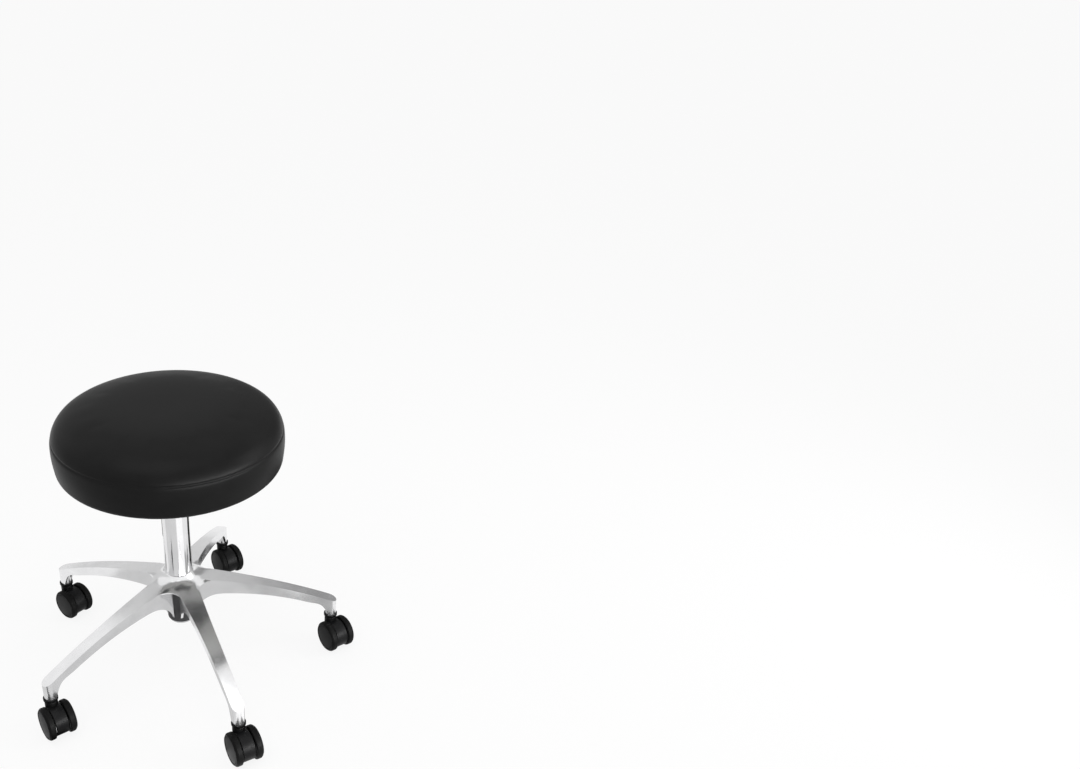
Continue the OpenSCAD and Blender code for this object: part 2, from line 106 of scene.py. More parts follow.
def modify(piece, kind, **settings):
    choose(piece)
    bpy.ops.object.modifier_add(type=kind)
    modifier = piece.modifiers[-1]
    for key, value in settings.items():
        setattr(modifier, key, value)
    bpy.ops.object.modifier_apply(modifier=modifier.name)


def mend(piece):
    edit(piece)
    bpy.ops.mesh.select_all(action="SELECT")
    bpy.ops.mesh.remove_doubles(threshold=1e-6)
    bpy.ops.mesh.normals_make_consistent(inside=False)
    leaveAll()


def smooth(piece, degrees=35):
    choose(piece)
    bpy.ops.object.shade_smooth_by_angle(angle=math.radians(degrees))


# A side view drawn point by point from one vertex: (distance from the Z axis, height) in mm
def drawProfile(name, points):
    leaveAll()
    bpy.ops.mesh.primitive_plane_add(size=mm, location=(points[0][0] * mm, 0, points[0][1] * mm))
    piece = bpy.context.object
    piece.name = piece.data.name = name
    bpy.ops.object.transform_apply(location=True, rotation=False, scale=False)
    bpy.ops.object.mode_set(mode="EDIT")
    bpy.ops.mesh.select_mode(type="VERT")
    bpy.ops.mesh.select_all(action="SELECT")
    bpy.ops.mesh.merge(type="CENTER")
    for a, b in zip(points, points[1:]):
        bpy.ops.mesh.extrude_vertices_move(
            TRANSFORM_OT_translate={"value": ((b[0] - a[0]) * mm, 0, (b[1] - a[1]) * mm)})
    return piece


# A closed shape turned from its side view
def turn(name, points, steps=96):
    piece = drawProfile(name, points)
    bpy.ops.mesh.select_all(action="SELECT")
    bpy.ops.mesh.spin(steps=steps, angle=2 * math.pi, center=(0, 0, 0), axis=(0, 0, 1))
    mend(piece)
    return piece


# A copy with its own mesh, moved to its place
def copyTo(piece, name, matrix):
    copy = bpy.data.objects.new(name, piece.data.copy())
    copy.data.name = name
    copy.data.transform(matrix)
    bpy.context.scene.collection.objects.link(copy)
    return copy


def joinAll(pieces):
    choose(pieces[0])
    for piece in pieces:
        piece.select_set(True)
    bpy.ops.object.join()
    return pieces[0]


def drop(piece):
    bpy.data.objects.remove(piece)


# Points on a round corner in a side view
def corner(centre, radius, fromDeg, toDeg, steps):
    return [(centre[0] + radius * math.cos(math.radians(fromDeg + (toDeg - fromDeg) * i / steps)),
             centre[1] + radius * math.sin(math.radians(fromDeg + (toDeg - fromDeg) * i / steps)))
            for i in range(steps + 1)]


# materials


def linear(hexColour):
    rgb = [int(hexColour[i:i + 2], 16) / 255 for i in (0, 2, 4)]
    return tuple(c / 12.92 if c <= 0.04045 else ((c + 0.055) / 1.055) ** 2.4 for c in rgb) + (1,)


def addNode(tree, kind, settings={}, inputs={}):
    node = tree.nodes.new("ShaderNode" + kind)
    for key, value in settings.items():
        setattr(node, key, value)
    for key, value in inputs.items():
        if isinstance(value, bpy.types.NodeSocket):
            tree.links.new(value, node.inputs[key])
        else:
            node.inputs[key].default_value = value
    return node


def perMm(size):
    return 1 / (size * mm)


# A surface whose colour drifts between two tones, whose gloss varies a little, and whose relief
# is one fine pattern: kind is NOISE or CELLS, grain and drift are sizes in mm
def surface(name, tones, gloss, grain, relief, drift=40, kind="NOISE", metallic=0,
            stretch=(1, 1, 1), **shader):
    material = bpy.data.materials.new(name)
    material.use_nodes = True
    tree = material.node_tree
    tree.nodes.clear()
    here = addNode(tree, "TexCoord").outputs["Object"]
    stretched = addNode(tree, "Mapping", {}, {"Vector": here, "Scale": stretch}).outputs[0]
    wide = addNode(tree, "TexNoise", {}, {"Vector": here, "Scale": perMm(drift), "Detail": 4,
                                          "Roughness": 0.6})
    if kind == "CELLS":
        fine = addNode(tree, "TexVoronoi", {"feature": "DISTANCE_TO_EDGE"},
                       {"Vector": stretched, "Scale": perMm(grain)}).outputs["Distance"]
    else:
        fine = addNode(tree, "TexNoise", {}, {"Vector": stretched, "Scale": perMm(grain),
                                              "Detail": 3, "Roughness": 0.55}).outputs["Fac"]
    colour = addNode(tree, "ValToRGB", {}, {"Fac": wide.outputs["Fac"]})
    colour.color_ramp.elements[0].position = 0.35
    colour.color_ramp.elements[0].color = linear(tones[0])
    colour.color_ramp.elements[1].position = 0.65
    colour.color_ramp.elements[1].color = linear(tones[1])
    shine = addNode(tree, "MapRange", {}, {"Value": wide.outputs["Fac"], "From Min": 0.3,
                                           "From Max": 0.7, "To Min": gloss[0], "To Max": gloss[1]})
    bump = addNode(tree, "Bump", {}, {"Height": fine, "Strength": 1, "Distance": relief * mm})
    main = addNode(tree, "BsdfPrincipled", {}, {
        "Base Color": colour.outputs["Color"], "Roughness": shine.outputs["Result"],
        "Normal": bump.outputs["Normal"], "Metallic": metallic, **shader})
    addNode(tree, "OutputMaterial", {}, {"Surface": main.outputs[0]})
    return material


# PVC-coated upholstery cloth: satin black with a pressed grain
coatedCloth = surface("coatedCloth", ("1a1a1a", "1d1d1d"), (0.34, 0.4), 1.6, 0.04, 60, "CELLS",
                      **{"Specular IOR Level": 0.06})
# die-cast aluminium, polished: bright, with soft waves left by the buffing wheel
polishedAluminium = surface("polishedAluminium", ("e6e6e7", "efeff0"), (0.14, 0.24), 34, 0.05, 50,
                            metallic=0.93)
# the casting's inside, left as cast: dull and grey, and painted dark grey as the shade and dark
# reflections under the star
asCastPaintedShade = surface("asCastPaintedShade", ("3c3c3d", "525253"), (0.5, 0.65), 1.2, 0.12, 25,
                          metallic=0.8)
# chromium plate on drawn tube: nearly a mirror, with faint draw lines along it
chromePlate = surface("chromePlate", ("e2e2e3", "eaeaeb"), (0.07, 0.12), 2, 0.01, 60, metallic=1,
                      stretch=(1, 1, 0.04))
# zinc plate: pale, slightly clouded
zincPlate = surface("zincPlate", ("a9acb0", "c4c7ca"), (0.25, 0.38), 1.5, 0.02, 8, metallic=1)
# black powder coat: half gloss with an orange-peel skin
powderCoat = surface("powderCoat", ("1b1b1c", "202021"), (0.4, 0.48), 1.8, 0.05, 30)
# moulded black nylon: dark, a fine spark-eroded grain
mouldedNylon = surface("mouldedNylon", ("0b0b0c", "101011"), (0.38, 0.46), 0.9, 0.03, 20,
                       **{"Specular IOR Level": 0.1})
# the castor hoods' nylon: the same moulding, a shade lighter and more open in grain
hoodNylon = surface("hoodNylon", ("0f0f10", "151516"), (0.4, 0.5), 1.2, 0.05, 20,
                    **{"Specular IOR Level": 0.12})
# moulded black polypropylene of the lever's grip
mouldedGrip = surface("mouldedGrip", ("151516", "1a1a1b"), (0.5, 0.6), 1, 0.05, 20)
# polyurethane tread: darker and duller, lightly dusted by the floor
polyurethaneTread = surface("polyurethaneTread", ("070707", "0b0b0b"), (0.5, 0.65), 1.4, 0.04, 12,
                            **{"Specular IOR Level": 0.1})
# turned acetal: off-white grey, smooth
acetal = surface("acetal", ("8a8a88", "94948f"), (0.35, 0.42), 1.5, 0.01, 20)
blackRubber = surface("blackRubber", ("121212", "191919"), (0.65, 0.8), 1, 0.04, 15)
# birch plywood: pale, long grain
birchPlywood = surface("birchPlywood", ("b08a5c", "c8a576"), (0.55, 0.7), 1.2, 0.06, 12,
                       stretch=(0.08, 1, 1))
# spun-bonded dust cloth: matt pale grey with a felted grain
spunCloth = surface("spunCloth", ("a9a9a6", "b3b3b0"), (0.85, 0.95), 1.1, 0.15, 6, "CELLS")
# polyurethane foam: open cells
openFoam = surface("openFoam", ("cdbf8e", "d8cc9f"), (0.9, 1), 1, 0.2, 10, "CELLS")

finishes = {
    "upholstery": coatedCloth, "foam": openFoam, "plywood": birchPlywood, "dust_cloth": spunCloth,
    "black_steel": powderCoat, "zinc_steel": zincPlate, "chrome_rod": chromePlate,
    "chrome_tube": chromePlate, "black_plastic": mouldedNylon, "grey_plastic": acetal,
    "black_rubber": blackRubber, "polished_aluminium": polishedAluminium,
    "castor_nylon": mouldedNylon, "castor_tread": polyurethaneTread}
slotOf = {part["node"]: part["material_slot"] for part in frame["record"]["subparts"]}
for name, node in nodes.items():
    finish = mouldedGrip if name == "lever_grip" else finishes[slotOf[name]]
    node.data.materials.clear()
    node.data.materials.append(finish)
print("materials made")

# camera, floor and light

camera = {"place": (0.0435, -1.5504, 1.3162), "right": (0.9873, -0.1573, 0.0225),
          "up": (0.0585, 0.4918, 0.8688), "forward": (0.1478, 0.8564, -0.4947),
          "sensor": 36, "lens": 33.352, "shift": (0.1800185, 0.0671111)}
leaveAll()
bpy.ops.object.camera_add()
view = bpy.context.object
view.data.sensor_width = camera["sensor"]
view.data.lens = camera["lens"]
view.data.shift_x, view.data.shift_y = camera["shift"]
axes = [Vector(camera["right"]), Vector(camera["up"]), -Vector(camera["forward"])]
view.matrix_world = Matrix.Translation(camera["place"]) @ Matrix(axes).transposed().to_4x4()
bpy.context.scene.camera = view
bpy.context.scene.view_settings.view_transform = "Standard"

studio = {"floorSize": 60, "floorTone": "f6f6f6", "floorLift": 0.88, "skyDiffuse": 0.62,
          "cardSteps": 24}
white = (1, 1, 1, 1)


# 1 for the rays that see the room itself: from the camera, in a reflection or through glass
def seenDirectly(tree):
    path = addNode(tree, "LightPath")
    either = addNode(tree, "Math", {"operation": "MAXIMUM"},
                     {0: path.outputs["Is Camera Ray"], 1: path.outputs["Is Glossy Ray"]})
    return addNode(tree, "Math", {"operation": "MAXIMUM"},
                   {0: either.outputs[0], 1: path.outputs["Is Transmission Ray"]}).outputs[0]


# A floor that the camera sees as nearly white, with the object's shadow left on it
def paleFloor():
    material = bpy.data.materials.new("paleFloor")
    material.use_nodes = True
    tree = material.node_tree
    tree.nodes.clear()
    paint = addNode(tree, "BsdfDiffuse", {}, {"Color": linear(studio["floorTone"])})
    light = addNode(tree, "Emission", {}, {"Color": white, "Strength": 1})
    lift = addNode(tree, "Math", {"operation": "MULTIPLY"},
                   {0: seenDirectly(tree), 1: studio["floorLift"]})
    mix = addNode(tree, "MixShader", {},
                  {0: lift.outputs[0], 1: paint.outputs[0], 2: light.outputs[0]})
    addNode(tree, "OutputMaterial", {}, {"Surface": mix.outputs[0]})
    return material


leaveAll()
bpy.ops.mesh.primitive_plane_add(size=studio["floorSize"])
floor = bpy.context.object
floor.name = "floor"
floor.data.materials.append(paleFloor())
floor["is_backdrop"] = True

# an even white room, which lights the object more softly than it looks
world = bpy.data.worlds.new("softRoom")
world.use_nodes = True
sky = world.node_tree
sky.nodes.clear()
strength = addNode(sky, "MapRange", {}, {"Value": seenDirectly(sky), "To Max": 1,
                                         "To Min": studio["skyDiffuse"]})
glow = addNode(sky, "Background", {}, {"Color": white, "Strength": strength.outputs["Result"]})
addNode(sky, "OutputWorld", {}, {"Surface": glow.outputs[0]})
bpy.context.scene.world = world

lamps = [
    # name, place, aim, width, height, power, lights as well as shines
    ("softboxRight", (1.9, -0.25, 1.15), (0, 0, 0.45), 0.9, 1.2, 11, True),
    ("softboxTop", (-0.3, -0.5, 2.3), (0, 0, 0.4), 1.6, 1.6, 12, True),
    ("sheenStrip", (1.1, -1.5, 0.56), (0, 0, 0.5), 2.6, 0.3, 66, False)]
for name, at, aim, wide, high, power, lights in lamps:
    leaveAll()
    bpy.ops.object.light_add(type="AREA", location=at)
    lamp = bpy.context.object
    lamp.name = name
    lamp.data.shape = "RECTANGLE"
    lamp.data.size, lamp.data.size_y, lamp.data.energy = wide, high, power
    lamp.visible_diffuse = lights
    lamp.rotation_euler = (Vector(aim) - Vector(at)).to_track_quat("-Z", "Y").to_euler()

# Cards and flags that only reflections see: painted reflections. They draw the column's bright band
# and dark lines, darken the floor the legs mirror, paint the stool's shadow into the mirrored
# floor, and shade the room's walls. From and to are degrees anticlockwise from +X; the two ends of
# the strip that is swept between them are (distance from the axis, height) in mm
cards = [
    # name, from, to, one end, other end, brightness
    ("whiteCard", -84, -34, (285, 2), (900, 2), 1.2),
    ("greyCard", -180, -86, (285, 2), (900, 2), 0.75),
    # painted shadow: the stool's own shade on the floor, as the reflections see it
    ("paintedShadowCard", 0, 360, (60, 1), (284, 1), 0.66),
    ("thinFlag", -137, -132.5, (286, 3), (430, 3), 0.02),
    # painted reflections: a darker floor where the legs' sides and tips mirror it
    ("legCard", -80, -35, (190, 2), (284, 2), 0.5),
    ("tipCard", -34, -14, (190, 2), (380, 2), 0.45),
    ("rightFlag", 20, 56, (285, 2), (800, 2), 0.03),
    ("leftFlag", 98, 128, (420, 2), (800, 2), 0.12),
    ("wall", 0, 360, (3000, 0), (3000, 1300), 0.72),
    ("darkWall", 28, 82, (2800, 150), (2800, 1700), 0.3),
    ("backCard", 45, 130, (2900, 1300), (2300, 2900), 0.6)]


def makeCard(name, start, end, near, far, bright):
    card = drawProfile(name, [near, far])
    bpy.ops.mesh.select_all(action="SELECT")
    bpy.ops.mesh.spin(steps=studio["cardSteps"], angle=math.radians(end - start),
                      center=(0, 0, 0), axis=(0, 0, 1))
    leaveAll()
    # spin may run either way round, so an open card is turned until its middle lies where it should
    if end - start < 360:
        middle = sum((v.co for v in card.data.vertices), Vector())
        turnBy = math.radians((start + end) / 2) - math.atan2(middle.y, middle.x)
        card.data.transform(Matrix.Rotation(turnBy, 4, "Z"))
    paint = bpy.data.materials.new(name)
    paint.use_nodes = True
    paint.node_tree.nodes.clear()
    # each card glows or darkens only in reflections: a painted reflection, not a lamp
    shine = addNode(paint.node_tree, "Emission", {}, {"Color": white, "Strength": bright})
    addNode(paint.node_tree, "OutputMaterial", {}, {"Surface": shine.outputs[0]})
    card.data.materials.append(paint)
    card.visible_camera = card.visible_diffuse = card.visible_shadow = False
    card.visible_transmission = False
    card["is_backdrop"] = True


for card in cards:
    makeCard(*card)
print("studio ready")

# padded seat

seat = {
    "radius": 200, "footRound": 13, "sideDrop": 3, "bandHeight": 62, "crown": 43,
    "seamRadius": 197.5, "shoulderRadius": 199, "shoulderPower": 4, "underside": 436.81,
    "boardTop": 450.7, "pocketRadius": 184,
    "swell": 1.2, "rise": 3.2, "sag": 2.4,  # how far the soft pad stands past its foam
    "footSteps": 9, "bandSteps": (0.1, 0.2, 0.35, 0.5, 0.65, 0.8, 0.9), "bandBulge": 0.85,
    "shoulderSteps": 32, "shoulderStart": 0.99,
    "inset": 2.2, "voxel": 5, "margin": 3, "heldFoot": 6, "heldSeam": (4.5, 8),
    "pressure": 4, "spareCloth": 0.008, "frames": 20, "quality": 4, "cap": 2.5,
    "skinAbove": 12, "relax": 10, "core": (120, 485), "ownShape": 0.3,
    "seamDepth": 0.9, "seamWidth": 2.6, "seamRound": 0.7, "smoothBelow": 60}
hem = {"radius": 170, "thick": 1.4, "steps": 264, "pleats": 44, "pleatDepth": 0.5,
       "underShare": 0.35, "wander": 1.7, "wanders": 5, "fade": 8}
seamHeight = seat["underside"] + seat["bandHeight"]
footRadius = seat["radius"] - seat["sideDrop"] - seat["footRound"]


def bend(share):
    return 1 - (1 - share ** seat["shoulderPower"]) ** (1 / seat["shoulderPower"])


# How far the top has fallen from its crown at a share of its radius, as a share of its height
def shoulderFall(share):
    return bend(share) / bend(seat["seamRadius"] / seat["shoulderRadius"])


# The pad's outer face from its foot to its crown, drawn in by inset all round
def padOutline(inset):
    wide, high = seat["swell"] - inset, seat["crown"] + seat["rise"]
    turnZ = seat["underside"] - seat["sag"] + seat["footRound"]
    foot = corner((footRadius + seat["swell"], turnZ), seat["footRound"] - inset, -90, 0,
                  seat["footSteps"])
    band = [(seat["radius"] - seat["sideDrop"] * (1 - math.sin(math.pi * t * seat["bandBulge"]))
             + wide, turnZ + t * (seamHeight - turnZ)) for t in seat["bandSteps"]]
    count = seat["shoulderSteps"]
    shoulder = [(s * (seat["shoulderRadius"] + wide),
                 seamHeight - inset + high * (1 - shoulderFall(s)))
                for s in (seat["shoulderStart"] * (1 - (k / count) ** 2) for k in range(count))]
    return foot + band + [(seat["seamRadius"] + wide, seamHeight)] + shoulder + [
        (0, seamHeight - inset + high)]


# How far a vertex stands from the axis, and how high, in mm
def sideView(v):
    return math.hypot(v.co.x, v.co.y) / mm, v.co.z / mm


# The cloth is blown tight from inside, held at its foot, its seam and the board's pocket
def puffUp(pad):
    modify(pad, "REMESH", mode="VOXEL", voxel_size=seat["voxel"] * mm)
    held = pad.vertex_groups.new(name="held")
    seamBand, seamReach = seat["heldSeam"]
    for v in pad.data.vertices:
        out, up = sideView(v)
        atSeam = abs(up - seamHeight) < seamBand and out > seat["seamRadius"] - seamReach
        inPocket = (up < seat["boardTop"] + seat["margin"]
                    and out < seat["pocketRadius"] + seat["margin"])
        if up < seat["underside"] + seat["heldFoot"] or atSeam or inPocket:
            held.add([v.index], 1, "REPLACE")
    before = [v.co.copy() for v in pad.data.vertices]
    choose(pad)
    bpy.ops.object.modifier_add(type="CLOTH")
    cloth = pad.modifiers[-1]
    cloth.settings.use_pressure = True
    cloth.settings.uniform_pressure_force = seat["pressure"]
    cloth.settings.shrink_min = seat["spareCloth"]
    cloth.settings.effector_weights.gravity = 0
    cloth.settings.vertex_group_mass = "held"
    cloth.settings.quality = seat["quality"]
    cloth.point_cache.frame_end = seat["frames"]
    for step in range(1, seat["frames"] + 1):
        bpy.context.scene.frame_set(step)
    bpy.ops.object.modifier_apply(modifier=cloth.name)
    bpy.context.scene.frame_set(1)
    for v, start in zip(pad.data.vertices, before):
        moved = v.co - start
        if moved.length > seat["cap"] * mm:
            v.co = start + moved * (seat["cap"] * mm / moved.length)


def isSkin(out, up):
    return (out > seat["pocketRadius"] + seat["margin"]
            or up > seat["boardTop"] + seat["skinAbove"])


# The foam behind the cloth evens out whatever the cloth leaves; the board's pocket stays as it is
def easeOut(pad):
    skin = pad.vertex_groups.new(name="skin")
    for v in pad.data.vertices:
        if isSkin(*sideView(v)):
            skin.add([v.index], 1, "REPLACE")
    modify(pad, "SMOOTH", factor=0.5, iterations=seat["relax"], vertex_group="skin")


# Brings the pad to its finished outline, seen from a core inside the foam, and keeps a share of
# the shape the cloth took by itself
def trueUp(pad):
    coreOut, coreUp = seat["core"]
    outline = [(out - coreOut, up - coreUp) for out, up in padOutline(0)]
    angles = [math.atan2(up, out) for out, up in outline]
    for v in pad.data.vertices:
        out, up = sideView(v)
        if not isSkin(out, up):
            continue
        ray = (out - coreOut, up - coreUp)
        reach = math.hypot(*ray)
        at = min(max(bisect(angles, math.atan2(ray[1], ray[0])), 1), len(outline) - 1)
        (x1, z1), (x2, z2) = outline[at - 1:at + 1]
        side1, side2 = x1 * ray[1] - z1 * ray[0], x2 * ray[1] - z2 * ray[0]
        share = min(max(side1 / (side1 - side2), 0), 1)
        goal = math.hypot(x1 + share * (x2 - x1), z1 + share * (z2 - z1))
        scale = (goal + seat["ownShape"] * (reach - goal + seat["inset"])) / reach
        pull = (coreOut + ray[0] * scale) / out if out > 0.1 else 1
        v.co = Vector((v.co.x * pull, v.co.y * pull, (coreUp + ray[1] * scale) * mm))


# The seam between the top panel and the side band, cut in as five rings and drawn inwards
def sewSeam(pad):
    width = seat["seamWidth"]
    edit(pad)
    for shift in (-width, -width / 2, 0, width / 2, width):
        bpy.ops.mesh.select_all(action="SELECT")
        bpy.ops.mesh.bisect(plane_co=(0, 0, (seamHeight + shift) * mm), plane_no=(0, 0, 1))
    pick("VERT", lambda c: abs(c.z / mm - seamHeight) < width - 0.01
         and math.hypot(c.x, c.y) > 0.1)

    def drawIn(c):
        share = 1 - abs(c.z / mm - seamHeight) / width
        out = math.hypot(c.x, c.y)
        pull = 1 - seat["seamDepth"] * mm * share ** seat["seamRound"] / out
        return Vector((c.x * pull, c.y * pull, c.z))

    place(drawIn)
    leaveAll()


# Pleats all round the foot, a little uneven in their spacing: 1 on a pleat, 0 between two
def pleat(around):
    return max(0, math.sin(around * hem["pleats"]
                           + hem["wander"] * math.sin(around * hem["wanders"])))


# The cloth pulled in small pleats round the foot and stapled under the board
def makeHem():
    low, edge, top = seat["underside"], hem["radius"], seat["underside"] + hem["thick"]
    ring = turn("seatHem", [(edge, top), (edge, low + 0.3), (edge + 4, low), (edge + 9, low),
                            (footRadius + 1, low), (footRadius + 4, low + 1), (footRadius, top),
                            (edge + 8, top), (edge, top)], steps=hem["steps"])
    for v in ring.data.vertices:
        if v.co.z < (top - 0.2) * mm:
            v.co.z -= (hem["pleatDepth"] * hem["underShare"] * mm
                       * pleat(math.atan2(v.co.y, v.co.x)) ** 2)
    return ring


def pleatFoot(pad):
    for v in pad.data.vertices:
        out, up = sideView(v)
        above = up - seat["underside"] + seat["sag"]
        if above < seat["footRound"] and out > seat["pocketRadius"]:
            around = math.atan2(v.co.y, v.co.x)
            share = min(1, max(0, 1 - above / seat["footRound"]))
            pull = hem["pleatDepth"] * mm * share ** hem["fade"] * pleat(around)
            v.co.x -= pull * math.cos(around)
            v.co.y -= pull * math.sin(around)


padPoints = [(0, seat["boardTop"]), (seat["pocketRadius"], seat["boardTop"]),
             (seat["pocketRadius"], seat["underside"])] + padOutline(seat["inset"])[1:]
seatPad = turn("seatPad", padPoints)
puffUp(seatPad)
easeOut(seatPad)
modify(seatPad, "SUBSURF", levels=1, render_levels=1)
trueUp(seatPad)
sewSeam(seatPad)
pleatFoot(seatPad)
seatPad = joinAll([seatPad, makeHem()])
seatPad.data.materials.clear()
seatPad.data.materials.append(coatedCloth)
smooth(seatPad, seat["smoothBelow"])
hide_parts("seat_cover", "seat_foam")
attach(seatPad, "seat")
print("seat made:", len(seatPad.data.polygons), "faces")

# star base

star = {
    "edgeTop": 184, "tipTop": 103, "rootHalf": 20, "tipHalf": 11.5, "webEdge": 50,
    "stemCircle": 288.6, "bow": 8, "footHalf": 11, "rootDepth": 40, "underBow": 16, "tipDepth": 20,
    "bossFoot": 68, "bossRadius": 11, "tipFrom": 281,
    "rootReach": 75, "rootRound": (50, 48),  # how long and how high
    "gussetFrom": 250, "gussetFoot": 10, "gussetRound": 0.98,
    "collar": ((25.06, 201), (26, 200.7), (27, 199.2), (28.6, 196.8), (31, 194.2), (34.8, 191.2),
               (39.4, 188.4), (44.5, 185.6)),
    "collarSteps": 6, "tangent": 58.9, "scallopCentre": 42.8, "scallopRadius": 22.8,
    "scallopSweep": 54, "webSlope": 0.3, "webDroop": 2.5, "droopPower": 1.6,
    "stations": (66, 75, 87, 100, 115, 132, 150, 168, 186, 204, 220, 234, 246, 256, 265, 272, 278,
                 283),
    "endSweep": 67.5, "wallLevels": (0.12, 0.5, 1), "wallLean": 0.5,
    # the wall under the web: distance from the axis, and its top's depth under the web's edge
    "rootWall": ((52, 2.5), (45, 1), (39, 1), (34, 1), (29.5, 1), (26, 1)),
    "rootNarrow": (20, 32), "rootIn": 3,
    "skin": 4.6, "edgeRound": 1.3}


def circleThrough(p, q, r):
    d = 2 * (p[0] * (q[1] - r[1]) + q[0] * (r[1] - p[1]) + r[0] * (p[1] - q[1]))
    pp, qq, rr = (a[0] ** 2 + a[1] ** 2 for a in (p, q, r))
    x = (pp * (q[1] - r[1]) + qq * (r[1] - p[1]) + rr * (p[1] - q[1])) / d
    z = (pp * (r[0] - q[0]) + qq * (p[0] - r[0]) + rr * (q[0] - p[0])) / d
    return x, z, math.hypot(x - p[0], z - p[1])


legEnd = star["stemCircle"] + 5
legMiddle = (star["webEdge"] + legEnd) / 2
topArc = circleThrough((star["webEdge"], star["edgeTop"]),
                       (legMiddle, (star["edgeTop"] + star["tipTop"]) / 2 + star["bow"]),
                       (legEnd, star["tipTop"]))
rootUnder = star["edgeTop"] - star["rootDepth"]
tipUnder = star["tipTop"] - star["tipDepth"]
underArc = circleThrough((star["webEdge"] + 20, rootUnder),
                         (legMiddle, (rootUnder + tipUnder) / 2 + star["underBow"]),
                         (legEnd, tipUnder - 1))
near = 1e-5  # metres within which two places count as one


def onArc(arc, x):
    return arc[1] + math.sqrt(arc[2] ** 2 - (x - arc[0]) ** 2)


def legHalf(x):
    share = min(1, max(0, (legEnd - x) / (legEnd - star["webEdge"])))
    return star["tipHalf"] + (star["rootHalf"] - star["tipHalf"]) * share ** 3


# Height of a leg's lower edge: a round out of the hub's boss, the long arc, then the boss's gusset
def legUnder(x):
    reach, gusset = star["rootReach"], star["gussetFrom"]
    if x < reach:
        long, high = star["rootRound"]
        share = (reach - x) / long
        return onArc(underArc, reach) - high * (1 - math.sqrt(max(0, 1 - share ** 2)))
    if x < gusset:
        return onArc(underArc, x)
    share = min(1, (x - gusset) / (star["stemCircle"] - star["bossRadius"] - gusset))
    return onArc(underArc, gusset) - (onArc(underArc, gusset) - star["bossFoot"]
                                      - star["gussetFoot"]) * (
        1 - math.sqrt(1 - share ** 2 * star["gussetRound"]))


# Lets go of the selected edges that fail the test
def sift(test):
    mesh = bmesh.from_edit_mesh(bpy.context.object.data)
    for e in mesh.edges:
        if e.select and not test(e):
            e.select_set(False)
    bmesh.update_edit_mesh(bpy.context.object.data)


